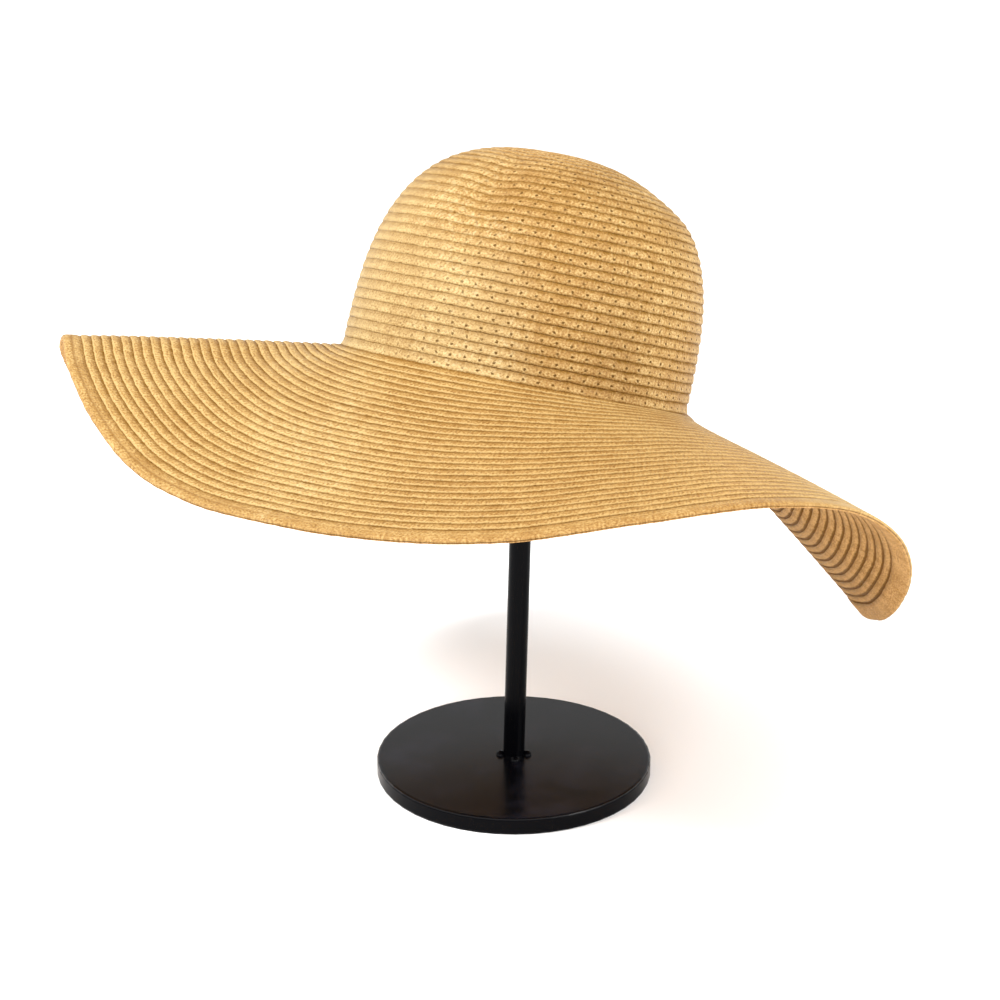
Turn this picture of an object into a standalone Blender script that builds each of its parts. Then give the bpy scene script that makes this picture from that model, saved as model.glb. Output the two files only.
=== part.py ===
"""Wide-brimmed straw hat resting tilted on a plain metal display stand.

Metres, +Z up. The origin is the middle of the underside of the stand's base.
Azimuths are degrees about the hat's own axis: 0 is +X, 90 is +Y (the back), 270 the front.
"""
import bisect
import math

import bmesh
import bpy
from mathutils import Matrix, Vector

# Crown: an oval dome whose profile is a rounded square
CROWN_LENGTH = 0.1995
CROWN_WIDTH = 0.175
CROWN_HEIGHT = 0.1285
CROWN_SQUARENESS = 2.9
CROWN_LEAN = 0.0033
CROWN_WALL = 0.0022

# Brim: straw wall whose slope changes round the hat, and its doubled outer round
BRIM_WIDTH = 0.161
BRIM_WALL = 0.0022
EDGE_WIDTH = 0.0114
EDGE_WALL = 0.0030

# How the hat lies: the middle of the crown's foot, and its two tilts in degrees
HAT_FOOT_HEIGHT = 0.249
HAT_TILT_RIGHT = 11.3
HAT_TILT_BACK = 17.0

# Stand: round plate, post and domed rest
BASE_DIAMETER = 0.165
BASE_THICKNESS = 0.0105
BASE_ROUND = 0.0016
POST_DIAMETER = 0.0128
POST_LEAN = 1.4
WELD_DIAMETER = 0.0056
WELD_BITE = 0.0012
REST_DIAMETER = 0.060
REST_RADIUS = 0.035
REST_RIM = 0.004

# Clearances and fineness
PIECE_GAP = 0.0003
SEAT_GAP = 0.0003
SUNK = 0.0012
CROWN_STEP = 4.0
BRIM_STEP = 3.0
FOLD_STEP = 1.5
CROWN_RINGS = 12
RING_CROWDING = 1.25
BRIM_RINGS = 6
EDGE_RINGS = 2
REST_RINGS = 5
ROUND_SIDES = 48
WALK_STEPS = 12

# Brim slopes below the hat's own level, in degrees: at the root, half way out and at the edge,
# and the brim's width there as a share of BRIM_WIDTH
BRIM_SECTIONS = [
    # azimuth, root, middle, edge, width share
    (0, 35.5, 34.5, 37.5, 1.01),
    (10, 32.5, 35.5, 36.5, 1.01),
    (22, 23, 23, 23, 1.00),
    (35, 16, 16, 16, 1.00),
    (55, 15, 15, 15, 1.00),
    (80, 20, 21, 22, 1.00),
    (110, 27, 28, 29, 1.00),
    (140, 29, 29, 29, 1.00),
    (165, 22, 24, 27, 0.99),
    (178, 14, 17, 24, 0.975),
    (186, 8, 11, 18, 0.98),
    (192, 11, 8, 11, 0.97),
    (199, 18, 14, 8, 0.98),
    (208, 26, 22, 21, 0.99),
    (216, 30, 29, 29, 1.00),
    (226, 34, 33, 33, 1.00),
    (240, 35, 34, 33, 0.99),
    (256, 32, 32, 31, 0.995),
    (272, 24, 27, 28, 1.00),
    (288, 17, 18, 19, 1.00),
    (304, 10, 11, 12, 1.00),
    (318, 8, 10, 13, 1.00),
    (328, 10.5, 14.5, 17.5, 1.00),
    (338, 17.5, 22, 26, 1.00),
    (348, 29.5, 30, 34, 1.00),
]
# The sharp fold at the left takes finer steps between these azimuths
FOLD_FROM_AZIMUTH = 177.0
FOLD_TO_AZIMUTH = 213.0

# Soft dents of the crown, each a shallow bowl pressed in from outside: the crease at its front
# and the flat of its right shoulder. The last three columns are shares of CROWN_HEIGHT
CROWN_DENTS = [
    # azimuth, half width in degrees, height, half height, depth
    (243, 9.0, 0.80, 0.16, 0.031),
    (0, 45.0, 0.96, 0.12, 0.054),
]

# Where the tack welds sit round the post's foot, in degrees
WELD_AZIMUTHS = (185, 275, 355)


def clear_scene():
    for old in list(bpy.data.objects):
        bpy.data.objects.remove(old, do_unlink=True)


def make_material(name, color, roughness, metallic):
    material = bpy.data.materials.new(name)
    material.use_nodes = True
    shader = material.node_tree.nodes["Principled BSDF"]
    shader.inputs["Base Color"].default_value = (*color, 1.0)
    shader.inputs["Roughness"].default_value = roughness
    shader.inputs["Metallic"].default_value = metallic
    material.diffuse_color = (*color, 1.0)
    return material


def finish_object(name, bm, material, smooth_angle=35.0):
    """Puts the mesh into a named object with its material and smooth shading."""
    mesh = bpy.data.meshes.new(name)
    bm.to_mesh(mesh)
    bm.free()
    mesh.materials.append(material)
    mesh.shade_smooth()
    mesh.set_sharp_from_angle(angle=math.radians(smooth_angle))
    obj = bpy.data.objects.new(name, mesh)
    bpy.context.collection.objects.link(obj)
    return obj


def add_wall(obj, thickness):
    """Gives a surface its wall, inward from the side that its faces look to."""
    wall = obj.modifiers.new("wall", "SOLIDIFY")
    wall.thickness = thickness
    wall.offset = -1.0
    wall.use_even_offset = True
    wall.use_rim = True


def periodic_curve(rows, column):
    """A smooth function of azimuth through one column of a table, closed at 360 degrees."""
    last = len(rows)
    spots = [rows[i % last][0] + 360 * (i // last) for i in range(-2, last + 3)]
    values = [rows[i % last][column] for i in range(-2, last + 3)]
    tangents = [0.0]
    for i in range(1, len(spots) - 1):
        before = spots[i] - spots[i - 1]
        after = spots[i + 1] - spots[i]
        rise_in = (values[i] - values[i - 1]) / before
        rise_out = (values[i + 1] - values[i]) / after
        tangents.append((rise_in * after + rise_out * before) / (before + after))
    tangents.append(0.0)

    def value_at(azimuth):
        spot = azimuth % 360.0
        i = bisect.bisect_right(spots, spot) - 1
        span = spots[i + 1] - spots[i]
        t = (spot - spots[i]) / span
        start = (2 * t ** 3 - 3 * t ** 2 + 1) * values[i] + (t ** 3 - 2 * t ** 2 + t) * span * tangents[i]
        end = (3 * t ** 2 - 2 * t ** 3) * values[i + 1] + (t ** 3 - t ** 2) * span * tangents[i + 1]
        return start + end

    return value_at


ROOT_SLOPE = periodic_curve(BRIM_SECTIONS, 1)
MIDDLE_SLOPE = periodic_curve(BRIM_SECTIONS, 2)
EDGE_SLOPE = periodic_curve(BRIM_SECTIONS, 3)
WIDTH_SHARE = periodic_curve(BRIM_SECTIONS, 4)


def oval_point(azimuth, inset=0.0):
    """The crown's foot oval, moved inward by an inset, and the outward direction there."""
    angle = math.radians(azimuth)
    half_length = CROWN_LENGTH / 2
    half_width = CROWN_WIDTH / 2
    outward = Vector((math.cos(angle) / half_length, math.sin(angle) / half_width, 0.0)).normalized()
    point = Vector((half_length * math.cos(angle), half_width * math.sin(angle), 0.0))
    return point - outward * inset, outward


def crown_point(azimuth, climb):
    """The crown's outer surface: climb runs from 0 at the foot to 1 at the top.

    A dent grows shallower towards the middle of the top, where all azimuths meet."""
    angle = math.radians(azimuth)
    turn = climb * math.pi / 2
    reach = max(math.cos(turn), 0.0) ** (2 / CROWN_SQUARENESS)
    height_share = math.sin(turn) ** (2 / CROWN_SQUARENESS)
    point = Vector((CROWN_LENGTH / 2 * math.cos(angle) * reach,
                    CROWN_WIDTH / 2 * math.sin(angle) * reach,
                    CROWN_HEIGHT * height_share))
    point.x += CROWN_LEAN * height_share
    inward = -Vector((math.cos(angle) * reach, math.sin(angle) * reach, height_share)).normalized()
    for dent_azimuth, half_width, at_height, half_height, depth in CROWN_DENTS:
        aside = (azimuth - dent_azimuth + 180.0) % 360.0 - 180.0
        fade = (aside / half_width) ** 2 + ((height_share - at_height) / half_height) ** 2
        point += inward * depth * CROWN_HEIGHT * reach * math.exp(-fade)
    return point


def brim_point(azimuth, distance):
    """The brim's top surface at a distance along it from the crown's outer wall.

    The slope follows a parabola through the root, middle and edge slopes of this azimuth, and the
    surface is walked outward in short steps so that its length stays the distance."""
    point, outward = oval_point(azimuth)
    share = WIDTH_SHARE(azimuth)
    root = ROOT_SLOPE(azimuth)
    middle = MIDDLE_SLOPE(azimuth)
    edge = EDGE_SLOPE(azimuth)
    step = distance / WALK_STEPS
    for i in range(WALK_STEPS):
        t = (i + 0.5) * step / BRIM_WIDTH
        slope = root + t * (4 * middle - 3 * root - edge) + t * t * (2 * edge + 2 * root - 4 * middle)
        angle = math.radians(slope)
        point = point + (outward * math.cos(angle) - Vector((0, 0, 1)) * math.sin(angle)) * step * share
    return point


def brim_azimuths():
    """Even steps round the brim, with finer ones across the sharp fold."""
    azimuths = []
    spot = 0.0
    while spot < 360.0:
        azimuths.append(spot)
        spot += FOLD_STEP if FOLD_FROM_AZIMUTH <= spot < FOLD_TO_AZIMUTH else BRIM_STEP
    return azimuths


def hat_placement():
    """The hat's frame in the world: tilted to the right, then back, about its foot's middle."""
    to_right = Matrix.Rotation(math.radians(HAT_TILT_RIGHT), 4, "Y")
    to_back = Matrix.Rotation(-math.radians(HAT_TILT_BACK), 4, "X")
    return Matrix.Translation((0.0, 0.0, HAT_FOOT_HEIGHT)) @ to_back @ to_right


def skin_rings(bm, rings):
    """Joins closed rings of points with quads, the first ring lowest or innermost."""
    loops = [[bm.verts.new(point) for point in ring] for ring in rings]
    count = len(loops[0])
    for below, above in zip(loops, loops[1:]):
        for i in range(count):
            j = (i + 1) % count
            bm.faces.new((below[i], below[j], above[j], above[i]))
    return loops


def build_crown(material):
    azimuths = [i * CROWN_STEP for i in range(int(360 / CROWN_STEP))]
    lift = Vector((0, 0, PIECE_GAP))
    rings = []
    for i in range(CROWN_RINGS):
        climb = (i / CROWN_RINGS) ** RING_CROWDING
        rings.append([crown_point(azimuth, climb) + lift for azimuth in azimuths])
    bm = bmesh.new()
    loops = skin_rings(bm, rings)
    top = bm.verts.new(crown_point(0.0, 1.0) + lift)
    count = len(azimuths)
    for i in range(count):
        bm.faces.new((loops[-1][i], loops[-1][(i + 1) % count], top))
    crown = finish_object("crown", bm, material)
    crown.matrix_world = hat_placement()
    add_wall(crown, CROWN_WALL)
    return crown


def build_brim(material):
    azimuths = brim_azimuths()
    under_crown = [oval_point(azimuth, CROWN_WALL)[0] for azimuth in azimuths]
    rings = [under_crown]
    reach = BRIM_WIDTH - EDGE_WIDTH
    for i in range(BRIM_RINGS + 1):
        rings.append([brim_point(azimuth, reach * i / BRIM_RINGS) for azimuth in azimuths])
    bm = bmesh.new()
    skin_rings(bm, rings)
    bmesh.ops.reverse_faces(bm, faces=bm.faces)
    brim = finish_object("brim", bm, material)
    brim.matrix_world = hat_placement()
    add_wall(brim, BRIM_WALL)
    return brim


def build_brim_edge(material):
    """The doubled round, as much prouder above the brim as below it."""
    azimuths = brim_azimuths()
    proud = (EDGE_WALL - BRIM_WALL) / 2
    start = BRIM_WIDTH - EDGE_WIDTH + PIECE_GAP
    rings = []
    for i in range(EDGE_RINGS + 1):
        distance = start + (BRIM_WIDTH - start) * i / EDGE_RINGS
        rings.append([brim_point(azimuth, distance) for azimuth in azimuths])
    bm = bmesh.new()
    skin_rings(bm, rings)
    bmesh.ops.reverse_faces(bm, faces=bm.faces)
    bm.normal_update()
    lifted = [(vert, vert.co + vert.normal * proud) for vert in bm.verts]
    for vert, place in lifted:
        vert.co = place
    edge = finish_object("brim_edge", bm, material)
    edge.matrix_world = hat_placement()
    add_wall(edge, EDGE_WALL)
    return edge


def post_axis(height):
    """The middle of the leaning post at a height above the floor."""
    return Vector((math.tan(math.radians(POST_LEAN)) * (height - BASE_THICKNESS), 0.0, height))


def crown_inside_point(azimuth, climb):
    """The crown's inner surface, one wall in from the outer one."""
    turn = 1.0
    rise = 0.002
    point = crown_point(azimuth, climb)
    along = crown_point(azimuth + turn, climb) - crown_point(azimuth - turn, climb)
    upward = crown_point(azimuth, climb + rise) - crown_point(azimuth, climb - rise)
    return point - along.cross(upward).normalized() * CROWN_WALL


def rest_centre():
    """The centre of the rest's dome, as high as the crown's inside lets it go.

    The dome touches the inner wall with SEAT_GAP left: each point of the wall over the rest
    gives the height at which the dome would meet it, and the lowest of these counts."""
    placement = hat_placement()
    radius = REST_RADIUS + SEAT_GAP
    spots = []
    for percent in range(20, 100):
        for azimuth in range(0, 360, 3):
            spots.append(placement @ crown_inside_point(azimuth, percent / 100))
    height = HAT_FOOT_HEIGHT + CROWN_HEIGHT
    for _ in range(4):
        middle = post_axis(height)
        meets = []
        for spot in spots:
            level = math.hypot(spot.x - middle.x, spot.y - middle.y)
            if level < REST_DIAMETER / 2 + SEAT_GAP:
                meets.append(spot.z - math.sqrt(radius ** 2 - level ** 2))
        height = min(meets)
    return post_axis(height)


def turned_solid(profile, sides):
    """A closed solid turned about Z from (radius, height) points, bottom first."""
    bm = bmesh.new()
    bottom = bm.verts.new((0, 0, profile[0][1]))
    top = bm.verts.new((0, 0, profile[-1][1]))
    rings = []
    for radius, height in profile:
        if radius > 0:
            ring = []
            for i in range(sides):
                angle = 2 * math.pi * i / sides
                ring.append((radius * math.cos(angle), radius * math.sin(angle), height))
            rings.append(ring)
    loops = skin_rings(bm, rings)
    for i in range(sides):
        j = (i + 1) % sides
        bm.faces.new((bottom, loops[0][j], loops[0][i]))
        bm.faces.new((top, loops[-1][i], loops[-1][j]))
    return bm


def base_profile():
    """The plate's side with a rounded upper and lower edge."""
    radius = BASE_DIAMETER / 2
    arc = [math.radians(angle) for angle in (0, 45, 90)]
    low = [(radius - BASE_ROUND + BASE_ROUND * math.sin(a), BASE_ROUND - BASE_ROUND * math.cos(a))
           for a in arc]
    high = [(r, BASE_THICKNESS - z) for r, z in reversed(low)]
    return [(0, 0)] + low + high + [(0, BASE_THICKNESS)]


def rest_profile():
    """The domed rest, its heights measured from the dome's centre."""
    half = REST_DIAMETER / 2
    shoulder = math.asin(half / REST_RADIUS)
    dome = []
    for i in range(REST_RINGS):
        angle = shoulder * (1 - i / REST_RINGS)
        dome.append((REST_RADIUS * math.sin(angle), REST_RADIUS * math.cos(angle)))
    floor_height = REST_RADIUS * math.cos(shoulder) - REST_RIM
    return [(0, floor_height), (half, floor_height)] + dome + [(0, REST_RADIUS)]


def guide(name, bm, location=(0, 0, 0), rotation=(0, 0, 0)):
    """A solid that only goes into the stand by a union, and isn't a piece itself."""
    mesh = bpy.data.meshes.new(name)
    bm.to_mesh(mesh)
    bm.free()
    obj = bpy.data.objects.new(name, mesh)
    bpy.context.collection.objects.link(obj)
    obj.location = location
    obj.rotation_euler = rotation
    obj.hide_render = True
    obj.display_type = "WIRE"
    return obj


def join_by_union(obj, other):
    union = obj.modifiers.new(other.name, "BOOLEAN")
    union.operation = "UNION"
    union.solver = "EXACT"
    union.object = other


def build_stand(material):
    bm = turned_solid(base_profile(), ROUND_SIDES)
    stand = finish_object("stand", bm, material)
    centre = rest_centre()
    lean = math.radians(POST_LEAN)

    foot = BASE_THICKNESS - SUNK
    top = centre.z + REST_RADIUS * math.cos(math.asin(REST_DIAMETER / 2 / REST_RADIUS))
    length = (top - foot) / math.cos(lean)
    half = POST_DIAMETER / 2
    post_bm = turned_solid([(0, 0), (half, 0), (half, length), (0, length)], ROUND_SIDES // 2)
    post = guide("stand_post_guide", post_bm, post_axis(foot), (0, lean, 0))
    join_by_union(stand, post)

    rest = guide("stand_rest_guide", turned_solid(rest_profile(), ROUND_SIDES), centre)
    join_by_union(stand, rest)

    for i, azimuth in enumerate(WELD_AZIMUTHS):
        angle = math.radians(azimuth)
        reach = half + WELD_DIAMETER / 2 - WELD_BITE
        bead_bm = bmesh.new()
        bmesh.ops.create_icosphere(bead_bm, subdivisions=2, radius=WELD_DIAMETER / 2)
        spot = (reach * math.cos(angle), reach * math.sin(angle), BASE_THICKNESS)
        join_by_union(stand, guide(f"stand_weld_guide_{i + 1}", bead_bm, spot))
    return stand


def main():
    clear_scene()
    straw = make_material("golden_straw", (0.62, 0.43, 0.20), 0.62, 0.0)
    edge_straw = make_material("edge_straw", (0.56, 0.38, 0.17), 0.64, 0.0)
    crown_straw = make_material("crown_straw", (0.66, 0.47, 0.23), 0.60, 0.0)
    black_metal = make_material("black_paint", (0.018, 0.018, 0.020), 0.22, 0.0)
    build_crown(crown_straw)
    build_brim(straw)
    build_brim_edge(edge_straw)
    build_stand(black_metal)


main()
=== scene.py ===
"""Looks of the straw hat on its display stand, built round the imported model.

Every length is in metres. Azimuths are degrees about the hat's own axis: 0 is +X, 90 the back,
270 the front. A span is a length along the hat's outer surface from the middle of the crown's
top, down the crown and out across the brim. The straw is one long plaited braid, sewn round and
round from the top's middle to the brim's edge, each row's outer side lying over the next row.
"""
import math

import bpy
import numpy as np
from mathutils import Matrix, Vector


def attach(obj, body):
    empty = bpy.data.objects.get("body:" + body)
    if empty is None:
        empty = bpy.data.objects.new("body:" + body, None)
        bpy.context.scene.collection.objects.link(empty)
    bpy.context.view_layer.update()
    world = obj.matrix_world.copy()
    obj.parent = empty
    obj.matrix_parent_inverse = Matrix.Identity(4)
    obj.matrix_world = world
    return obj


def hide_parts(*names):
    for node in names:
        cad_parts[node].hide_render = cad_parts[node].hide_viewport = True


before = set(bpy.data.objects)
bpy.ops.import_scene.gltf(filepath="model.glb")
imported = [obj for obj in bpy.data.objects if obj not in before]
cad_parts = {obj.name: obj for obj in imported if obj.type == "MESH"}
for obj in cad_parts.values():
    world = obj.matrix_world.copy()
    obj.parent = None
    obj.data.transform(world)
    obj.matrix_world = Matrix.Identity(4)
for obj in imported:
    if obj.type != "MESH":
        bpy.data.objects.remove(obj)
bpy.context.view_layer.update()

# The hat's form, as its solids have it
CROWN_LENGTH = 0.1995
CROWN_WIDTH = 0.175
CROWN_HEIGHT = 0.1285
CROWN_SQUARENESS = 2.9
CROWN_LEAN = 0.0033
BRIM_WIDTH = 0.161
EDGE_WIDTH = 0.0114
HAT_FOOT_HEIGHT = 0.249
HAT_TILT_RIGHT = 11.3
HAT_TILT_BACK = 17.0
WALK_STEPS = 12

# Brim slopes below the hat's own level, in degrees, and its width as a share of BRIM_WIDTH
BRIM_SECTIONS = [
    # azimuth, root, middle, edge, width share
    (0, 35.5, 34.5, 37.5, 1.01),
    (10, 32.5, 35.5, 36.5, 1.01),
    (22, 23, 23, 23, 1.00),
    (35, 16, 16, 16, 1.00),
    (55, 15, 15, 15, 1.00),
    (80, 20, 21, 22, 1.00),
    (110, 27, 28, 29, 1.00),
    (140, 29, 29, 29, 1.00),
    (165, 22, 24, 27, 0.99),
    (178, 14, 17, 24, 0.975),
    (186, 8, 11, 18, 0.98),
    (192, 11, 8, 11, 0.97),
    (199, 18, 14, 8, 0.98),
    (208, 26, 22, 21, 0.99),
    (216, 30, 29, 29, 1.00),
    (226, 34, 33, 33, 1.00),
    (240, 35, 34, 33, 0.99),
    (256, 32, 32, 31, 0.995),
    (272, 24, 27, 28, 1.00),
    (288, 17, 18, 19, 1.00),
    (304, 10, 11, 12, 1.00),
    (318, 8, 10, 13, 1.00),
    (328, 10.5, 14.5, 17.5, 1.00),
    (338, 17.5, 22, 26, 1.00),
    (348, 29.5, 30, 34, 1.00),
]
# Soft dents of the crown: the last three columns are shares of CROWN_HEIGHT
CROWN_DENTS = [
    # azimuth, half width in degrees, height, half height, depth
    (243, 9.0, 0.80, 0.16, 0.031),
    (0, 45.0, 0.96, 0.12, 0.054),
]

# Sewing of the braid: rows on the crown and from there to the doubled edge, how far a row laps
# over the next, and where at the back each row steps out to the next
CROWN_ROWS = 33
BRIM_ROWS = 27
LAP = 0.0018
ROW_START_AZIMUTH = 160.0
STEADY_SHARE = 0.61
BRAID_START = -0.29

# How a row strays from its line: sideways, in short kinks, up and down, each with the length of
# braid it strays over, and how ragged its outer side is
SHIFT = 0.00014
SHIFT_LENGTH = 0.045
KINK = 0.00011
KINK_LENGTH = 0.0085
LIFT = 0.00008
LIFT_LENGTH = 0.030
RAGGED = 0.00006
# Waves of the doubled edge's line, in waves round the hat
EDGE_WAVES = (17, 29, 46, 131, 173)

# Fineness of the meshes
SKIN_AZIMUTH_STEP = 0.5
SKIN_SPAN_STEP = 0.0005
CORNER_ROUND = 0.0025
CROWN_STEP = 0.0019
BRIM_STEP = 0.0022
EDGE_STEP = 0.0015
LEAST_STEPS_A_TURN = 48
EDGE_AZIMUTH_STEP = 0.25

# The braid's cross-section
BRAID_SECTION = [
    # across as a share of the width from the inner side, mm above the hat's surface, underside
    (0.00, -1.50, 0.0),
    (0.12, -1.06, 0.0),
    (0.25, -0.76, 0.0),
    (0.40, -0.40, 0.0),
    (0.58, -0.12, 0.0),
    (0.76, 0.02, 0.0),
    (0.90, -0.12, 0.0),
    (1.00, -0.56, 0.0),
    (0.985, -1.15, 1.0),
    (0.76, -1.55, 1.0),
    (0.40, -1.98, 1.0),
    (0.03, -2.15, 1.0),
]
# The doubled edge's cross-section, with the seam between its two layers in the rim
EDGE_SECTION = [
    # mm out from the last row, mm above the hat's surface, underside, seam
    (-0.8, -1.60, 0.0, 0.0),
    (0.0, -1.15, 0.0, 0.0),
    (1.1, -0.88, 0.0, 0.0),
    (2.3, -0.35, 0.0, 0.0),
    (3.8, 0.06, 0.0, 0.0),
    (6.2, 0.22, 0.0, 0.0),
    (9.0, 0.30, 0.0, 0.0),
    (10.7, 0.08, 0.0, 0.0),
    (11.4, -0.50, 0.0, 0.0),
    (11.5, -1.15, 0.3, 0.3),
    (10.9, -1.50, 0.5, 1.0),
    (11.4, -1.85, 0.7, 0.3),
    (11.2, -2.40, 1.0, 0.0),
    (10.2, -2.72, 1.0, 0.0),
    (2.0, -2.72, 1.0, 0.0),
    (-0.7, -2.55, 1.0, 0.0),
]
MILLIMETRE = 0.001

# Camera, as the photograph was taken
CAMERA_PLACE = (-0.0083, -1.3527, 0.6938)
CAMERA_PITCH = 21.0
CAMERA_LENS = 90.0
SENSOR_WIDTH = 36.0

# Straw colours, linear
STRAW_PALE = (0.52, 0.342, 0.143)
STRAW_BODY = (0.36, 0.199, 0.061)
STRAW_DEEP = (0.25, 0.120, 0.0275)
# Painted shade in the grooves, and the fibre's own dark specks
STRAW_SPECK_AND_SHADE = (0.185, 0.084, 0.014)
STRAW_HOLE_SHADE = (0.080, 0.033, 0.005)
# Painted highlight: the pale colour of the painted sheen, the glints and the lit left side
STRAW_PAINTED_HIGHLIGHT = (0.59, 0.435, 0.215)
# Painted light on the brim's far right
STRAW_PAINTED_LIGHT = (0.62, 0.445, 0.200)
# A tint the straw is multiplied by: a deeper, more golden tone painted as shade across the middle
GOLD_SHADE_TINT = (0.88, 0.80, 0.71)
UNDER_TAN = (0.50, 0.285, 0.108)
UNDER_DEEP = (0.30, 0.152, 0.046)
# Painted shade in the lines between rows underneath and in the rim's seam
UNDER_LINE_SHADE = (0.125, 0.052, 0.007)
PAINT_BLACK = (0.0012, 0.0012, 0.0018)
PAINT_DUST_AND_SHEEN = (0.007, 0.007, 0.011)
FLOOR_WHITE = (0.96, 0.96, 0.96)
FLOOR_CLOUD = (0.92, 0.92, 0.925)

# The stand: a round plate and a post that leans to the right by so many degrees
BASE_THICKNESS = 0.0105
BASE_RADIUS = 0.0825
BASE_ROUND = 0.0016
POST_RADIUS = 0.0064
POST_LEAN = 1.4

# Scale of the plait and the sewing
RIB_SPACING = 0.0023
STITCH_SPACING = 0.0083
STITCH_SHARE = 0.60
STITCH_HALF_LENGTH = 0.00092
STITCH_HALF_WIDTH = 0.00082
RIB_SLANT = 0.30
RIB_SWAY = 0.0034

# Where the brim lies smoothest, pressed flat at the crown's right foot
SMOOTH_FOOT = (0.085, -0.060, 0.247)
SMOOTH_RADIUS = 0.060
# How flat the brim's rows are pressed where it droops to the right: from and to which x of the
# normal it counts as drooping, and from and to which -y that fades towards the back
PRESSED_SHARE = 0.72
DROOP_FACING = (0.15, 0.45)
PRESSED_BACK = (-0.12, -0.03)
BRIM_EASE = 0.01
# How much flatter the crown's rows are worn at its left, and from and to which -x
WORN_SHARE = 0.35
WORN_LEFT = (0.0, 0.08)

# Noises laid in the braid's own map
BRAID_NOISES = {
    # name: cells a metre along, cells a metre across, detail
    "fibre": (760.0, 900.0, 3.0),
    "torn": (400.0, 300.0, 3.0),
    "sway": (190.0, 60.0, 1.0),
    "strip": (150.0, 90.0, 2.0),
    "dash": (270.0, 60.0, 2.0),
    "glint": (300.0, 360.0, 2.0),
}
# How much the fibres, the drift along a row, broad patches and the rise of a row make its tone; the
# rise is painted shade, darkest where a row tucks under the last
TONE_GRAIN = 0.56
TONE_DRIFT = 0.24
TONE_PATCH = 0.16
TONE_SHADE_RISE = 0.20
# How far the plait's torn sides reach, as a share of a row
TORN_REACH = 0.42
# Bump of the straw
STRAW_RELIEF = 0.00034
STRAW_BUMP = 0.9

# How each piece's straw differs. Left and right are those of the photo, shares are 0 to 1:
#   tint: what all of it is multiplied by; holes: how dark the painted shade in the needle's holes is
#   bead_highlight: how pale the painted highlight on a row's outer side is; painted_light_left,
#       painted_light_right: how pale the far sides are painted, as light
#   groove_shade_left, groove_shade_right: how dark the painted shade in the grooves is at the upper
#       left and the lower right
#   groove_wide, groove_narrow: how wide they are there, as a share of a row
#   lap_shade_left, lap_shade_right: how dark the painted shade on each row's own outer side is there
#   pressed: how far grooves fade where the brim is pressed; rib: how much the plait's ribs show
#   glint: the x of the painted glints; sheen: how pale the painted sheen round them makes the straw
#   gold_shade: how deep a golden tone is painted as shade, and the x from and to which it comes and
#       goes
#   lift: how much paler the right side is painted, as light on it, and the x between which that begins
STRAW_LOOKS = {
    "crown_straw": {
        "tint": (0.94, 0.99, 0.99),
        "holes": 0.90, "bead_highlight": 0.0, "painted_light_left": 0.42, "painted_light_right": 0.0,
        "groove_shade_left": 0.44, "groove_shade_right": 1.0, "groove_wide": 0.74, "groove_narrow": 0.36,
        "lap_shade_left": 0.45, "lap_shade_right": 0.42, "pressed": 0.0, "rib": 0.14,
        "glint": -0.025, "sheen": 0.27,
        "gold_shade": 0.60, "gold_shade_from": (-0.03, 0.00), "gold_shade_to": (0.085, 0.035),
        "lift": 1.15, "right_light_from": (0.045, 0.085),
    },
    "brim_straw": {
        "tint": (0.885, 0.905, 0.84),
        "holes": 0.20, "bead_highlight": 0.75, "painted_light_left": 0.0, "painted_light_right": 0.30,
        "groove_shade_left": 0.95, "groove_shade_right": 0.88, "groove_wide": 0.50, "groove_narrow": 0.42,
        "lap_shade_left": 0.0, "lap_shade_right": 0.32, "pressed": 1.0, "rib": 0.20,
        "glint": -0.105, "sheen": 0.06,
        "gold_shade": 1.0, "gold_shade_from": (-0.15, 0.02), "gold_shade_to": (0.20, 0.12),
        "lift": 1.09, "right_light_from": (0.07, 0.12),
    },
    "edge_straw": {
        "tint": (0.90, 0.92, 0.86),
        "holes": 0.10, "bead_highlight": 0.30, "painted_light_left": 0.0, "painted_light_right": 0.30,
        "groove_shade_left": 0.50, "groove_shade_right": 0.40, "groove_wide": 0.50, "groove_narrow": 0.40,
        "lap_shade_left": 0.0, "lap_shade_right": 0.0, "pressed": 1.0, "rib": 0.07,
        "glint": -0.105, "sheen": 0.0,
        "gold_shade": 0.70, "gold_shade_from": (-0.15, 0.02), "gold_shade_to": (0.20, 0.12),
        "lift": 1.05, "right_light_from": (0.07, 0.12),
    },
}
GLINT_REACH = 0.045
# The last length of the crown's braid, that turns to the brim's tones
ENDING_REACH = 0.28

# The studio
FLOOR_HALF = 12.0
WORLD_STRENGTH = 1.05
LAMP_TARGET = (0.0, 0.0, 0.25)
LAMPS = [
    # name, place, disc's size, watts
    ("key", (-1.45, -0.75, 1.75), 0.6, 72.0),
    ("fill", (1.75, -1.20, 1.20), 1.4, 54.0),
]


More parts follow.
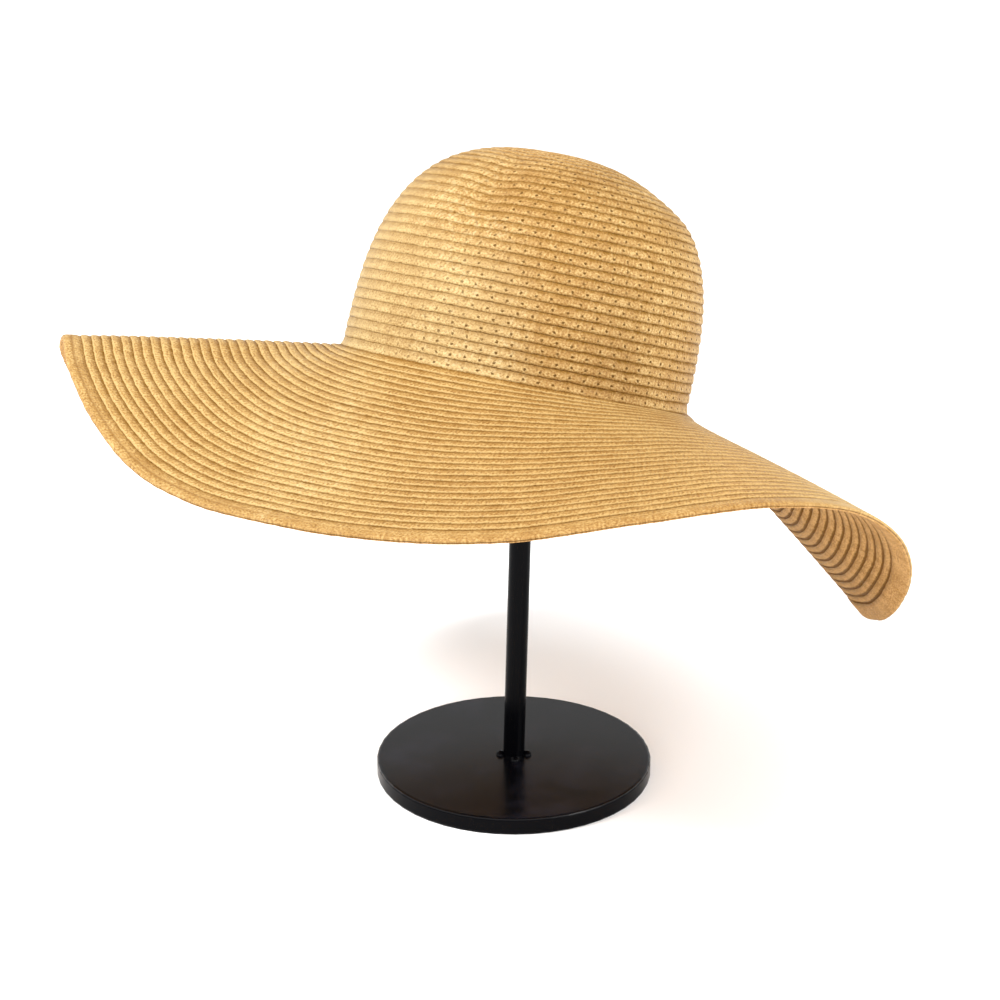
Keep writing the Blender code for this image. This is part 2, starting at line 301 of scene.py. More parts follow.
def periodic_curve(column):
    """A smooth function of azimuth through one column of the brim's table."""
    last = len(BRIM_SECTIONS)
    picks = range(-2, last + 3)
    spots = np.array([BRIM_SECTIONS[i % last][0] + 360.0 * (i // last) for i in picks])
    values = np.array([float(BRIM_SECTIONS[i % last][column]) for i in picks])
    spans = np.diff(spots)
    rises = np.diff(values) / spans
    tangents = np.zeros(len(spots))
    weighed = rises[:-1] * spans[1:] + rises[1:] * spans[:-1]
    tangents[1:-1] = weighed / (spans[1:] + spans[:-1])

    def value_at(azimuth):
        spot = np.mod(azimuth, 360.0)
        i = np.searchsorted(spots, spot, side="right") - 1
        span = spans[i]
        t = (spot - spots[i]) / span
        start = (2 * t ** 3 - 3 * t ** 2 + 1) * values[i]
        start = start + (t ** 3 - 2 * t ** 2 + t) * span * tangents[i]
        end = (3 * t ** 2 - 2 * t ** 3) * values[i + 1]
        end = end + (t ** 3 - t ** 2) * span * tangents[i + 1]
        return start + end

    return value_at


def unit(vectors):
    lengths = np.linalg.norm(vectors, axis=-1, keepdims=True)
    return vectors / np.maximum(lengths, 1e-12)


def smooth_step(value, low, high):
    t = np.clip((value - low) / (high - low), 0.0, 1.0)
    return t * t * (3 - 2 * t)


def crown_profile():
    """Climbs from 0 at the crown's foot to 1 at its top, and the span each lies at on average."""
    climb = np.linspace(0.0, 1.0, 4001)
    turn = climb * math.pi / 2
    power = 2 / CROWN_SQUARENESS
    reach = np.maximum(np.cos(turn), 0.0) ** power * (CROWN_LENGTH + CROWN_WIDTH) / 4
    height = np.sin(turn) ** power * CROWN_HEIGHT
    rise = np.concatenate([[0.0], np.cumsum(np.hypot(np.diff(reach), np.diff(height)))])
    return climb[::-1], rise[-1] - rise[::-1]


PROFILE_CLIMB, PROFILE_SPAN = crown_profile()
CROWN_SPAN = float(PROFILE_SPAN[-1])
EDGE_SPAN = CROWN_SPAN + BRIM_WIDTH - EDGE_WIDTH
ROW_PITCH = (EDGE_SPAN - CROWN_SPAN) / BRIM_ROWS
ROW_WIDTH = ROW_PITCH + LAP


def crown_surface(azimuth, span):
    """The crown's outer surface in the hat's own frame."""
    angle = np.radians(azimuth)
    turn = np.interp(span, PROFILE_SPAN, PROFILE_CLIMB) * math.pi / 2
    power = 2 / CROWN_SQUARENESS
    reach = np.maximum(np.cos(turn), 0.0) ** power
    level = np.sin(turn) ** power
    x = CROWN_LENGTH / 2 * np.cos(angle) * reach + CROWN_LEAN * level
    y = CROWN_WIDTH / 2 * np.sin(angle) * reach
    points = np.stack([x, y, CROWN_HEIGHT * level], -1)
    inward = -unit(np.stack([np.cos(angle) * reach, np.sin(angle) * reach, level], -1))
    for dent_azimuth, half_width, at_height, half_height, depth in CROWN_DENTS:
        aside = np.mod(azimuth - dent_azimuth + 180.0, 360.0) - 180.0
        fade = (aside / half_width) ** 2 + ((level - at_height) / half_height) ** 2
        points = points + inward * (depth * CROWN_HEIGHT * reach * np.exp(-fade))[..., None]
    return points


def brim_surface(azimuth, distance):
    """The brim's top surface in the hat's own frame, at distances out from the crown."""
    angle = np.radians(azimuth)
    outward = unit(np.stack([np.cos(angle) / CROWN_LENGTH, np.sin(angle) / CROWN_WIDTH], -1))
    root, middle, edge, share = (periodic_curve(column)(azimuth) for column in (1, 2, 3, 4))
    step = distance / WALK_STEPS
    reach = np.zeros_like(distance)
    drop = np.zeros_like(distance)
    for i in range(WALK_STEPS):
        t = (i + 0.5) * step / BRIM_WIDTH
        slope = root + t * (4 * middle - 3 * root - edge)
        slope = slope + t * t * (2 * edge + 2 * root - 4 * middle)
        reach = reach + np.cos(np.radians(slope)) * step * share
        drop = drop + np.sin(np.radians(slope)) * step * share
    x = CROWN_LENGTH / 2 * np.cos(angle) + outward[..., 0] * reach
    y = CROWN_WIDTH / 2 * np.sin(angle) + outward[..., 1] * reach
    return np.stack([x, y, -drop], -1)


def hat_placement():
    """The hat's frame in the world: tilted to the right, then back, about its foot's middle."""
    to_right = Matrix.Rotation(math.radians(HAT_TILT_RIGHT), 4, "Y")
    to_back = Matrix.Rotation(-math.radians(HAT_TILT_BACK), 4, "X")
    return Matrix.Translation((0.0, 0.0, HAT_FOOT_HEIGHT)) @ to_back @ to_right


class Skin:
    """The hat's outer surface and its normals in the world, as a fine grid that is read between."""

    def __init__(self):
        azimuths = np.arange(0.0, 360.0, SKIN_AZIMUTH_STEP)
        self.spans = np.arange(0.0, CROWN_SPAN + BRIM_WIDTH + 0.003, SKIN_SPAN_STEP)
        span, azimuth = np.meshgrid(self.spans, azimuths, indexing="ij")
        on_crown = crown_surface(azimuth, np.minimum(span, CROWN_SPAN))
        on_brim = brim_surface(azimuth, np.maximum(span - CROWN_SPAN, 0.0))
        points = np.where((span < CROWN_SPAN)[..., None], on_crown, on_brim)
        points = self.round_corner(points)
        placement = np.array(hat_placement())
        points = points @ placement[:3, :3].T + placement[:3, 3]
        around = np.roll(points, -1, 1) - np.roll(points, 1, 1)
        outward = np.gradient(points, axis=0)
        normals = unit(np.cross(outward, around))
        normals[0] = unit(normals[1].mean(0))
        self.points = np.concatenate([points, points[:, :1]], 1)
        self.normals = np.concatenate([normals, normals[:, :1]], 1)

    def round_corner(self, points):
        """Rounds the corner between crown and brim, as the braid bends there."""
        half = int(CORNER_ROUND / SKIN_SPAN_STEP)
        mean = sum(np.roll(points, i, 0) for i in range(-half, half + 1)) / (2 * half + 1)
        away = np.abs(self.spans - CROWN_SPAN)
        share = 1.0 - smooth_step(away, CORNER_ROUND, 3 * CORNER_ROUND)
        return points + (mean - points) * share[:, None, None]

    def at(self, azimuth, span):
        """Points and normals at azimuths and spans."""
        column = np.mod(azimuth, 360.0) / SKIN_AZIMUTH_STEP
        row = np.clip(span / SKIN_SPAN_STEP, 0.0, len(self.spans) - 1.001)
        i = row.astype(int)
        j = np.minimum(column.astype(int), self.points.shape[1] - 2)
        down = (row - i)[..., None]
        along = (column - j)[..., None]
        found = []
        for grid in (self.points, self.normals):
            upper = grid[i, j] * (1 - along) + grid[i, j + 1] * along
            lower = grid[i + 1, j] * (1 - along) + grid[i + 1, j + 1] * along
            found.append(upper * (1 - down) + lower * down)
        return found[0], unit(found[1])


SKIN = Skin()


def row_at(turns):
    """How many rows out a braid's inner side lies after so many turns.

    It stays in its row round the front and sides and steps out by one across the back."""
    whole = np.floor(turns)
    return whole + smooth_step(turns - whole, STEADY_SHARE, 1.0)


def span_of_row(row):
    """The span at which a row starts."""
    rows = [0, CROWN_ROWS, CROWN_ROWS + BRIM_ROWS + 1]
    return np.interp(row, rows, [0.0, CROWN_SPAN, EDGE_SPAN + ROW_PITCH])


def wander(length, wavelength, rng):
    """A smooth value that wanders between about -1 and 1 along a braid."""
    total = np.zeros_like(length)
    for share in (0.6, 1.0, 1.7):
        phase = rng.random() * 2 * math.pi
        total += np.sin(2 * math.pi * length / (wavelength * share) + phase)
    return total / 2


def even_turns(first, last, step):
    """Turn counts a step apart along the braid, and the length of braid up to each."""
    turns = np.linspace(first, last, int((last - first) * 360) + 1)
    middle = span_of_row(row_at(turns) + 0.5)
    points, _ = SKIN.at(ROW_START_AZIMUTH + turns * 360.0, middle)
    lengths = np.linalg.norm(np.diff(points, axis=0), axis=1)
    steps = np.maximum(lengths / step, np.diff(turns) * LEAST_STEPS_A_TURN)
    count = np.concatenate([[0.0], np.cumsum(steps)])
    length = np.concatenate([[0.0], np.cumsum(lengths)])
    wanted = np.linspace(0.0, count[-1], int(count[-1]) + 1)
    found = np.interp(wanted, count, turns)
    return found, np.interp(found, turns, length)


def ring_mesh(name, rings, along, across, marks, closed):
    """A solid through rings of points, with a UV map of metres along and across the braid and
    named values for the points of a ring, such as 1 on its underside."""
    count, sides, _ = rings.shape
    index = np.arange(count * sides).reshape(count, sides)
    following = np.roll(index, -1, 0) if closed else index[1:]
    starts = index if closed else index[:-1]
    corners = [starts, np.roll(starts, -1, 1), np.roll(following, -1, 1), following]
    quads = np.stack(corners, -1).reshape(-1, 4)
    faces = quads.tolist()
    if not closed:
        faces += [index[0][::-1].tolist(), index[-1].tolist()]
    mesh = bpy.data.meshes.new(name)
    mesh.from_pydata(rings.reshape(-1, 3).tolist(), [], faces)
    loop_vertex = np.empty(len(mesh.loops), dtype=np.int32)
    mesh.loops.foreach_get("vertex_index", loop_vertex)
    ring, side = np.divmod(loop_vertex, sides)
    spots = np.stack([along[ring], across[side]], -1)
    if closed:
        closing = (np.arange(len(ring)) >= 4 * sides * (count - 1)) & (ring == 0)
        spots[closing, 0] = along[-1] + along[1]
    layer = mesh.uv_layers.new(name="braid")
    layer.data.foreach_set("uv", spots.ravel())
    for mark, values in marks.items():
        layer = mesh.attributes.new(mark, "FLOAT", "POINT")
        layer.data.foreach_set("value", np.tile(values, count).astype(np.float32))
    mesh.shade_smooth()
    piece = bpy.data.objects.new(name, mesh)
    bpy.context.scene.collection.objects.link(piece)
    return piece


def level_share(points, normals, span):
    """How much of a row's relief is left: less where the brim droops right or lies smoothest, and
    at the crown's left."""
    from_foot = np.linalg.norm(points - SMOOTH_FOOT, axis=1)
    by_foot = smooth_step(-from_foot, -SMOOTH_RADIUS, -SMOOTH_RADIUS / 2)
    in_front = smooth_step(-points[:, 1], *PRESSED_BACK)
    droop = np.maximum(smooth_step(normals[:, 0], *DROOP_FACING) * in_front, by_foot)
    on_brim = smooth_step(span, CROWN_SPAN, CROWN_SPAN + BRIM_EASE)
    worn = smooth_step(-points[:, 0], *WORN_LEFT) * (1 - on_brim)
    return 1 - PRESSED_SHARE * droop * on_brim - WORN_SHARE * worn


def lay_braid(name, first, last, step, length_before, seed):
    """One stretch of the sewn braid, from turn to turn, and the length of braid at its end."""
    rng = np.random.default_rng(seed)
    turns, length = even_turns(first, last, step)
    length = length + length_before
    azimuth = ROW_START_AZIMUTH + turns * 360.0
    row = row_at(turns)
    inner = span_of_row(row) - LAP / 2
    outer = span_of_row(row + 1) + LAP / 2
    shift = SHIFT * wander(length, SHIFT_LENGTH, rng) + KINK * wander(length, KINK_LENGTH, rng)
    lift = LIFT * wander(length, LIFT_LENGTH, rng)
    ragged = RAGGED * rng.standard_normal(len(turns))
    section = np.array(BRAID_SECTION)
    rings = np.empty((len(turns), len(section), 3))
    for k, (across, height, under) in enumerate(section):
        span = inner + (outer - inner) * across + shift + ragged * across ** 2
        points, normals = SKIN.at(azimuth, np.maximum(span, SKIN_SPAN_STEP / 2))
        level = height * MILLIMETRE * (1.0 if under else level_share(points, normals, span))
        rings[:, k] = points + normals * (level + lift * across)[:, None]
    marks = {"under": section[:, 2]}
    braid = ring_mesh(name, rings, length, section[:, 0] * ROW_WIDTH, marks, False)
    return braid, length[-1]


def lay_edge(name, seed):
    """The doubled round that finishes the brim, one closed loop."""
    rng = np.random.default_rng(seed)
    azimuth = np.arange(0.0, 360.0, EDGE_AZIMUTH_STEP)
    points, _ = SKIN.at(azimuth, np.full_like(azimuth, EDGE_SPAN))
    lengths = np.linalg.norm(np.roll(points, -1, 0) - points, axis=1)
    length = np.concatenate([[0.0], np.cumsum(lengths)])
    wanted = np.linspace(0.0, length[-1], int(length[-1] / EDGE_STEP) + 1)[:-1]
    azimuth = np.interp(wanted, length, np.append(azimuth, 360.0))
    circle = wanted / length[-1] * 2 * math.pi
    shift = sum(np.sin(circle * k + rng.random() * 6) for k in EDGE_WAVES) * SHIFT / 2
    section = np.array(EDGE_SECTION)
    rings = np.empty((len(azimuth), len(section), 3))
    for k, (out, height, under, _) in enumerate(section):
        span = EDGE_SPAN + out * MILLIMETRE + shift
        points, normals = SKIN.at(azimuth, span)
        level = height * MILLIMETRE * (1.0 if under else level_share(points, normals, span))
        rings[:, k] = points + normals * np.reshape(level, (-1, 1))
    marks = {"under": section[:, 2], "seam": section[:, 3]}
    across = section[:, 0] * MILLIMETRE + LAP / 2
    return ring_mesh(name, rings, wanted, across, marks, True)


class Graph:
    """Short calls for the nodes of one material."""

    def __init__(self, name):
        self.material = bpy.data.materials.new(name)
        self.material.use_nodes = True
        self.tree = self.material.node_tree
        self.shader = self.tree.nodes["Principled BSDF"]

    def node(self, kind, **settings):
        made = self.tree.nodes.new(kind)
        for key, value in settings.items():
            setattr(made, key, value)
        return made

    def feed(self, socket, value):
        if isinstance(value, bpy.types.NodeSocket):
            self.tree.links.new(value, socket)
        elif isinstance(value, tuple) and len(value) == 3 and socket.type == "RGBA":
            socket.default_value = (*value, 1.0)
        else:
            socket.default_value = value

    def math(self, operation, *values):
        made = self.node("ShaderNodeMath", operation=operation)
        for socket, value in zip(made.inputs, values):
            self.feed(socket, value)
        return made.outputs[0]

    def product(self, *values):
        total = values[0]
        for value in values[1:]:
            total = self.math("MULTIPLY", total, value)
        return total

    def less(self, value, taken):
        return self.math("SUBTRACT", value, taken)

    def slope(self, value, rate, start):
        return self.math("MULTIPLY_ADD", value, rate, start)

    def away(self, value, centre):
        """How far a value lies from a centre."""
        return self.math("ABSOLUTE", self.less(value, centre))

    def split(self, vector):
        made = self.node("ShaderNodeSeparateXYZ")
        self.feed(made.inputs[0], vector)
        return list(made.outputs)

    def attribute(self, name):
        return self.node("ShaderNodeAttribute", attribute_name=name).outputs["Fac"]

    def band(self, value, low, high):
        """0 at low, 1 at high, smooth between; low may be the greater."""
        made = self.node("ShaderNodeMapRange", interpolation_type="SMOOTHSTEP")
        self.feed(made.inputs["Value"], value)
        self.feed(made.inputs["From Min"], low)
        self.feed(made.inputs["From Max"], high)
        return made.outputs["Result"]

    def mix(self, share, first, second):
        made = self.node("ShaderNodeMix", data_type="RGBA")
        self.feed(made.inputs[0], share)
        self.feed(made.inputs[6], first)
        self.feed(made.inputs[7], second)
        return made.outputs[2]

    def tint(self, share, color, factor):
        made = self.node("ShaderNodeMix", data_type="RGBA", blend_type="MULTIPLY")
        self.feed(made.inputs[0], share)
        self.feed(made.inputs[6], color)
        self.feed(made.inputs[7], factor)
        return made.outputs[2]

    def blend(self, share, first, second):
        """A number between two numbers."""
        made = self.node("ShaderNodeMix", data_type="FLOAT")
        self.feed(made.inputs[0], share)
        self.feed(made.inputs[2], first)
        self.feed(made.inputs[3], second)
        return made.outputs[0]

    def combine(self, x, y, z=0.0):
        made = self.node("ShaderNodeCombineXYZ")
        for socket, value in zip(made.inputs, (x, y, z)):
            self.feed(socket, value)
        return made.outputs[0]

    def noise(self, vector, scale, detail=2.0, roughness=0.5):
        made = self.node("ShaderNodeTexNoise")
        self.feed(made.inputs["Vector"], vector)
        self.feed(made.inputs["Scale"], scale)
        self.feed(made.inputs["Detail"], detail)
        self.feed(made.inputs["Roughness"], roughness)
        return made.outputs["Fac"]

    def braid_noise(self, along, across, along_scale, across_scale, detail):
        """Noise in the braid's own map, its scales in cells a metre."""
        x = self.product(along, along_scale)
        y = self.product(across, across_scale)
        return self.noise(self.combine(x, y), 1.0, detail, 0.6)

    def weigh(self, *parts):
        """The sum of values times their weights."""
        total = 0.0
        for value, weight in parts:
            total = self.slope(value, weight, total)
        return total

    def distance(self, first, second):
        made = self.node("ShaderNodeVectorMath", operation="DISTANCE")
        self.feed(made.inputs[0], first)
        self.feed(made.inputs[1], second)
        return made.outputs["Value"]

    def place(self):
        return self.node("ShaderNodeTexCoord").outputs["Object"]

    def bump(self, height, strength, distance, normal=None):
        made = self.node("ShaderNodeBump")
        if normal:
            self.feed(made.inputs["Normal"], normal)
        self.feed(made.inputs["Height"], height)
        self.feed(made.inputs["Strength"], strength)
        self.feed(made.inputs["Distance"], distance)
        self.tree.links.new(made.outputs["Normal"], self.shader.inputs["Normal"])

    def set(self, **values):
        for name, value in values.items():
            self.feed(self.shader.inputs[name.replace("_", " ")], value)


class Straw:
    """The finish of plaited straw. Rows, ribs and fibres come from the braid's own map, so they
    follow it round the hat; broad tones, painted light and shade among them, come from where on
    the hat a point lies."""

    def __init__(self, name, ending=None):
        """Near its ending, a length along the braid, a piece takes on the brim's tones."""
        self.look = STRAW_LOOKS[name]
        self.graph = graph = Graph(name)
        braid_map = graph.node("ShaderNodeUVMap", uv_map="braid").outputs["UV"]
        self.along, self.across, _ = graph.split(braid_map)
        self.to_right, self.to_back, up = graph.split(graph.place())
        self.up = up
        self.under = graph.attribute("under")
        self.fibre = self.noise("fibre")
        self.grain = graph.band(self.fibre, 0.30, 0.70)
        self.strip = self.noise("strip")
        self.drift = graph.band(self.strip, 0.30, 0.70)
        self.patch = graph.band(graph.noise(graph.place(), 22.0, 3.0), 0.32, 0.68)
        self.dash = graph.band(self.noise("dash"), 0.36, 0.60)
        self.rib = self.ribs()

        # How far out in its row a point lies, with the ragged sides that a plait has
        torn = graph.less(self.noise("torn"), 0.5)
        self.torn = graph.slope(graph.less(self.fibre, 0.5), 0.5, torn)
        self.row_share = graph.math("DIVIDE", graph.less(self.across, LAP), ROW_PITCH)
        self.torn_share = graph.slope(self.torn, TORN_REACH, self.row_share)

        # Where on the hat it lies: 0 to 1
        self.to_lower_right = graph.slope(up, -0.6, self.to_right)
        self.to_side = graph.band(self.to_lower_right, -0.27, -0.11)
        self.in_front = graph.band(self.to_back, -PRESSED_BACK[0], -PRESSED_BACK[1])
        self.ended = 0.0
        if ending:
            self.ended = graph.band(self.along, ending - ENDING_REACH, ending - 0.03)

    def noise(self, name):
        return self.graph.braid_noise(self.along, self.across, *BRAID_NOISES[name])

    def ribs(self):
        """The plait's strands, that cross the braid on a slant and never quite evenly: 0 to 1."""
        graph = self.graph
        slant = graph.slope(self.across, RIB_SLANT, self.along)
        slant = graph.slope(graph.less(self.noise("sway"), 0.5), RIB_SWAY, slant)
        turn = graph.product(graph.math("DIVIDE", slant, RIB_SPACING), 2 * math.pi)
        return graph.slope(graph.math("SINE", turn), 0.5, 0.5)

    def seen(self):
        """How far the painted shade in the grooves shows: less where the brim lies smoothest or droops
        to the right.
        """
        graph = self.graph
        to_foot = graph.distance(graph.place(), SMOOTH_FOOT)
        to_foot = graph.math("DIVIDE", to_foot, SMOOTH_RADIUS)
        seen = graph.product(graph.band(to_foot, 0.25, 1.0), graph.band(self.to_right, 0.17, 0.07))
        seen = graph.blend(self.in_front, 1.0, seen)
        return graph.blend(self.look["pressed"], 1.0, graph.slope(seen, 0.50, 0.50))

    def groove_shades(self):
        """Painted shade in the grooves beside the last row, and on a row's own outer side."""
        graph, look = self.graph, self.look
        width = graph.blend(self.to_side, look["groove_wide"], look["groove_narrow"])
        depth = graph.blend(self.to_side, look["groove_shade_left"], look["groove_shade_right"])
        groove_shade = graph.band(graph.math("DIVIDE", self.torn_share, width), 1.0, 0.0)
        groove_shade = graph.product(groove_shade, graph.slope(self.dash, 0.52, 0.50), depth)
        lap_shade = graph.blend(self.to_side, look["lap_shade_left"], look["lap_shade_right"])
        lap_shade = graph.product(graph.band(self.torn_share, 0.76, 1.02), lap_shade, depth)
        return graph.product(graph.math("MAXIMUM", groove_shade, lap_shade), self.seen())

    def holes(self):
        """The needle's holes along a row, 1 inside a hole, their sides torn by the fibre. Their dark is
        painted shade, and it shows only towards the lower right.
        """
        graph = self.graph
        part = graph.math("FRACT", graph.math("DIVIDE", self.along, STITCH_SPACING))
        apart = graph.product(graph.less(part, 0.5), STITCH_SPACING / STITCH_HALF_LENGTH)
        aside = graph.less(self.row_share, STITCH_SHARE)
        aside = graph.product(aside, ROW_PITCH / STITCH_HALF_WIDTH)
        apart = graph.math("POWER", apart, 2.0)
        aside = graph.math("POWER", aside, 2.0)
        away = graph.math("SQRT", graph.math("ADD", apart, aside))
        away = graph.slope(graph.less(self.fibre, 0.5), 1.6, away)
        low_enough = graph.band(self.to_lower_right, -0.265, -0.205)
        some = graph.band(self.strip, 0.24, 0.46)
        return graph.product(graph.band(away, 1.25, 0.4), self.look["holes"], low_enough, some)

    def faces_key(self):
        """How squarely the key lamp meets the front, about the glints' x, where the sheen and glints
        are painted.
        """
        graph = self.graph
        aside = graph.away(self.to_right, self.look["glint"])
        near = graph.band(aside, GLINT_REACH, 0.25 * GLINT_REACH)
        return graph.product(near, graph.band(self.to_back, 0.03, -0.04))

    def plain_top(self):
        """Fibres, ribs and drifting tones, with painted shade deepest in the grooves and lighter to the
        outer side, and a deeper, more golden tone painted as shade across the middle.
        """
        graph, look = self.graph, self.look
        # Painted shade, darkest where the row tucks under the last one and lighter outward
        rise = graph.band(self.torn_share, 0.05, 0.75)
        tone = graph.weigh(
            (self.grain, TONE_GRAIN),
            (self.drift, TONE_DRIFT),
            (self.patch, TONE_PATCH),
            (self.rib, look["rib"]),
            (rise, TONE_SHADE_RISE),
        )
        top = graph.mix(graph.band(tone, 0.26, 0.72), STRAW_DEEP, STRAW_BODY)
        top = graph.mix(graph.band(tone, 0.66, 1.14), top, STRAW_PALE)
        # A deeper, more golden tone painted as shade across the middle
        comes = graph.band(self.to_right, *look["gold_shade_from"])
        goes = graph.band(self.to_right, *look["gold_shade_to"])
        return graph.tint(graph.product(comes, goes, look["gold_shade"]), top, GOLD_SHADE_TINT)

    def paint_side_light(self, top):
        """Painted light: pale far sides, streaked by the grain, and a paler right."""
        graph, look = self.graph, self.look
        streak = graph.weigh((self.grain, 0.35), (self.drift, 0.25), (0.70, 1.0))
        left = graph.product(graph.band(self.to_right, -0.02, -0.10), look["painted_light_left"])
        left = graph.product(left, graph.less(1.0, self.ended), streak)
        right = graph.product(graph.band(self.to_right, 0.11, 0.19), look["painted_light_right"])
        right = graph.product(right, self.in_front, streak)
        top = graph.mix(left, top, STRAW_PAINTED_HIGHLIGHT)
        top = graph.mix(right, top, STRAW_PAINTED_LIGHT)
        right_light = graph.product(graph.band(self.to_right, *look["right_light_from"]), self.in_front)
        return graph.tint(right_light, top, (look["lift"],) * 3)

    def top(self, groove_shade, holes, faces_key, glint):
        """The colour of the upper side."""
        graph, look = self.graph, self.look
        # Painted sheen round the glints, where the key lamp meets the front
        sheen = graph.product(faces_key, graph.band(self.up, 0.355, 0.325), look["sheen"])
        top = graph.mix(sheen, self.plain_top(), STRAW_PAINTED_HIGHLIGHT)
        top = graph.mix(graph.product(glint, 0.45), top, STRAW_PAINTED_HIGHLIGHT)
        # Painted highlight along each row's outer side
        bead_highlight = graph.band(graph.away(self.torn_share, 0.92), 0.12, 0.03)
        top = graph.mix(graph.product(bead_highlight, look["bead_highlight"]), top, STRAW_PALE)
        top = self.paint_side_light(top)
        specks = graph.product(graph.band(self.fibre, 0.45, 0.32), 0.66)
        top = graph.mix(specks, top, STRAW_SPECK_AND_SHADE)
        # Painted shade in the grooves
        top = graph.mix(groove_shade, top, STRAW_SPECK_AND_SHADE)
        top = graph.mix(holes, top, STRAW_HOLE_SHADE)
        tint = graph.mix(self.ended, look["tint"], STRAW_LOOKS["brim_straw"]["tint"])
        return graph.tint(1.0, top, tint)

    def below(self):
        """The colour of the underside."""
        graph = self.graph
        speckle = graph.weigh((self.grain, 0.60), (self.drift, 0.25), (self.patch, 0.15))
        return graph.mix(graph.band(speckle, 0.28, 0.68), UNDER_DEEP, UNDER_TAN)

    def color_of_rows(self, top):
        """Underneath, a line of painted shade marks where the next row's inner side begins."""
        graph = self.graph
        line = graph.product(graph.band(self.torn_share, 0.32, 0.46), 0.93)
        below = graph.mix(line, self.below(), UNDER_LINE_SHADE)
        return graph.mix(self.under, top, below)

    def color_of_edge(self, top):
        """Painted shade: a faint line along the edge's middle at its left, and dashes in the rim's
        seam.
        """
        graph = self.graph
        line = graph.band(graph.away(self.torn_share, 1.08), 0.30, 0.0)
        line = graph.product(line, graph.band(self.to_right, -0.09, -0.17), 0.7)
        top = graph.mix(line, top, STRAW_SPECK_AND_SHADE)
        color = graph.mix(self.under, top, self.below())
        seam = graph.band(graph.attribute("seam"), 0.25, 0.75)
        seam = graph.product(seam, graph.slope(self.dash, 0.6, 0.4), 0.9)
        return graph.mix(seam, color, UNDER_LINE_SHADE)

    def finish(self, is_edge=False):
        """Satin straw, dull in the grooves and underneath; its fibres run along the braid."""
        graph = self.graph
        groove_shade = self.groove_shades()
        holes = self.holes()
        faces_key = self.faces_key()
        # Glints: pale dashes painted into the colour where the key lamp meets the front; they also
        # raise the specular
        glint = graph.band(self.noise("glint"), 0.48, 0.68)
        glint = graph.product(glint, faces_key, graph.band(self.patch, 0.25, 0.75))
        top = self.top(groove_shade, holes, faces_key, glint)
        color = self.color_of_edge(top) if is_edge else self.color_of_rows(top)
        dull = graph.math("MAXIMUM", groove_shade, graph.math("MAXIMUM", self.under, holes))
        graph.set(
            Base_Color=color,
            Specular_IOR_Level=graph.blend(dull, graph.slope(glint, 0.16, 0.19), 0.02),
            Roughness=graph.slope(self.grain, 0.16, 0.34),
            Anisotropic=0.65,
            Tangent=graph.node("ShaderNodeTangent", direction_type="UV_MAP", uv_map="braid").outputs[0],
        )
        height = graph.weigh(
            (self.rib, 0.35),
            (self.grain, 0.60),
            (holes, -1.0),
            (groove_shade, -0.6),
            (self.torn, 0.8),
        )
        graph.bump(height, STRAW_BUMP, STRAW_RELIEF)
        return graph.material


def round_normal(graph, x, y, z):
    """The normal, truly round on the post and the plate's rim, that are many-sided solids."""
    above = graph.less(z, BASE_THICKNESS)
    x = graph.slope(above, -math.tan(math.radians(POST_LEAN)), x)
    around = graph.combine(x, y)
    radial = graph.node("ShaderNodeVectorMath", operation="NORMALIZE")
    graph.feed(radial.inputs[0], around)
    reach = graph.distance(around, (0.0, 0.0, 0.0))
    post = graph.band(reach, 1.3 * POST_RADIUS, 1.2 * POST_RADIUS)
    post = graph.product(post, graph.band(above, 0.0045, 0.0055))
    from_middle = graph.away(above, -BASE_THICKNESS / 2)
    flat = BASE_THICKNESS / 2 - BASE_ROUND
    rim = graph.band(reach, BASE_RADIUS - 0.0012, BASE_RADIUS - 0.0008)
    rim = graph.product(rim, graph.band(from_middle, flat, flat - 0.0003))
    own = graph.node("ShaderNodeTexCoord").outputs["Normal"]
    return graph.mix(graph.math("ADD", post, rim), own, radial.outputs[0])


def paint_material():
    """Smooth black paint, satin on the plate's face and darker round its rim and up the post. The face
    is paler and bluer, with dust and a painted sheen.
    """
    graph = Graph("black_paint")
    fine = graph.noise(graph.place(), 420.0, 2.0)
    smudge = graph.noise(graph.place(), 38.0, 4.0, 0.6)
    x, y, z = graph.split(graph.place())
    above = graph.away(z, BASE_THICKNESS)
    face = graph.band(above, 0.0003, 0.0001)
    rounded = graph.band(above, 0.0012, 0.0008)
    # Dust and painted sheen on the plate's face
    color = graph.mix(graph.band(smudge, 0.45, 0.75), PAINT_BLACK, PAINT_DUST_AND_SHEEN)
    gloss = graph.blend(rounded, 0.045, 0.28)
    graph.set(
        Base_Color=graph.mix(face, PAINT_BLACK, color),
        Roughness=graph.slope(smudge, 0.12, 0.16),
        Specular_IOR_Level=graph.blend(face, gloss, 0.13),
    )
    graph.bump(fine, 0.10, 0.0002, round_normal(graph, x, y, z))
    return graph.material


def floor_material():
    graph = Graph("pale_floor")
    cloud = graph.noise(graph.place(), 1.2, 2.0)
    color = graph.mix(graph.product(cloud, 0.3), FLOOR_WHITE, FLOOR_CLOUD)
    graph.set(Base_Color=color, Roughness=0.7, Specular_IOR_Level=0.15)
    return graph.material


def dress(piece, material, slot, *nodes):
    """Gives a piece its finish, sets it on the one body and hides the imported parts it stands for."""
    piece.data.materials.append(material)
    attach(piece, "root")
    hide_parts(*nodes)


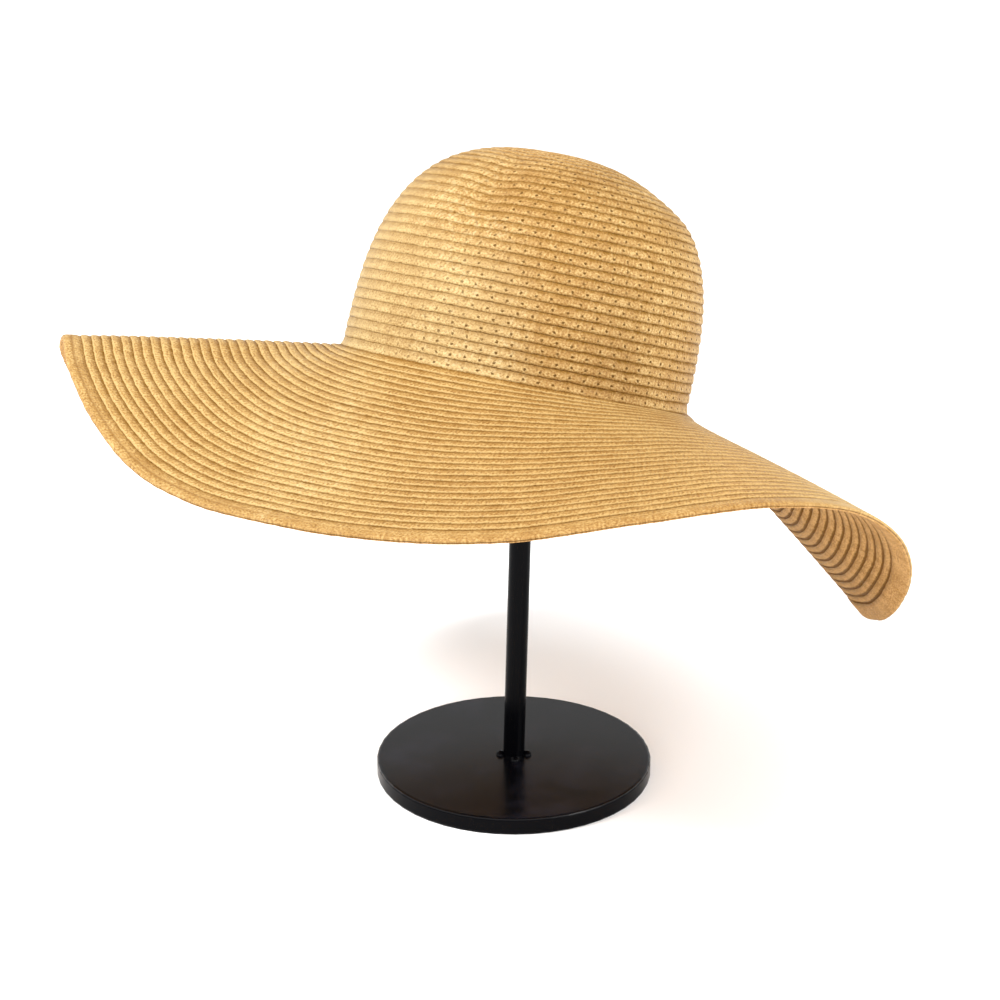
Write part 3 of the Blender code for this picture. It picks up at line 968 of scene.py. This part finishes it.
def build_hat():
    half_way = CROWN_ROWS + BRIM_ROWS // 2 + 1
    last = CROWN_ROWS + BRIM_ROWS
    crown, crown_end = lay_braid("crown_braid", BRAID_START, CROWN_ROWS, CROWN_STEP, 0.0, 11)
    inner, length = lay_braid("brim_braid_inner", CROWN_ROWS, half_way, BRIM_STEP, crown_end, 12)
    outer, length = lay_braid("brim_braid_outer", half_way, last, BRIM_STEP, length, 13)
    edge = lay_edge("edge_braid", 14)
    crown_straw = Straw("crown_straw", crown_end).finish()
    brim_straw = Straw("brim_straw").finish()
    edge_straw = Straw("edge_straw").finish(is_edge=True)
    dress(crown, crown_straw, "crown_straw", "crown")
    dress(inner, brim_straw, "brim_straw", "brim")
    dress(outer, brim_straw, "brim_straw", "brim")
    dress(edge, edge_straw, "edge_straw", "brim_edge")


def paint_stand():
    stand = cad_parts["stand"]
    stand.data.materials.clear()
    stand.data.materials.append(paint_material())


def build_stage():
    mesh = bpy.data.meshes.new("floor")
    corners = [(x * FLOOR_HALF, y * FLOOR_HALF, 0) for x, y in ((-1, -1), (1, -1), (1, 1), (-1, 1))]
    mesh.from_pydata(corners, [], [(0, 1, 2, 3)])
    mesh.materials.append(floor_material())
    floor = bpy.data.objects.new("floor", mesh)
    bpy.context.scene.collection.objects.link(floor)


def add_lamp(name, place, size, power):
    light = bpy.data.lights.new(name, "AREA")
    light.shape = "DISK"
    light.size = size
    light.energy = power
    lamp = bpy.data.objects.new(name, light)
    lamp.location = place
    aim = Vector(LAMP_TARGET) - Vector(place)
    lamp.rotation_euler = aim.to_track_quat("-Z", "Y").to_euler()
    bpy.context.scene.collection.objects.link(lamp)


def light_studio():
    world = bpy.data.worlds.new("studio")
    world.use_nodes = True
    backdrop = world.node_tree.nodes["Background"]
    backdrop.inputs["Color"].default_value = (1.0, 1.0, 1.0, 1.0)
    backdrop.inputs["Strength"].default_value = WORLD_STRENGTH
    bpy.context.scene.world = world
    for lamp in LAMPS:
        add_lamp(*lamp)
    bpy.context.scene.view_settings.view_transform = "Standard"


def place_camera():
    data = bpy.data.cameras.new("camera")
    data.lens = CAMERA_LENS
    data.sensor_width = SENSOR_WIDTH
    camera = bpy.data.objects.new("camera", data)
    camera.location = CAMERA_PLACE
    camera.rotation_euler = (math.radians(90.0 - CAMERA_PITCH), 0.0, 0.0)
    bpy.context.scene.collection.objects.link(camera)
    bpy.context.scene.camera = camera


place_camera()
build_hat()
paint_stand()
build_stage()
light_studio()
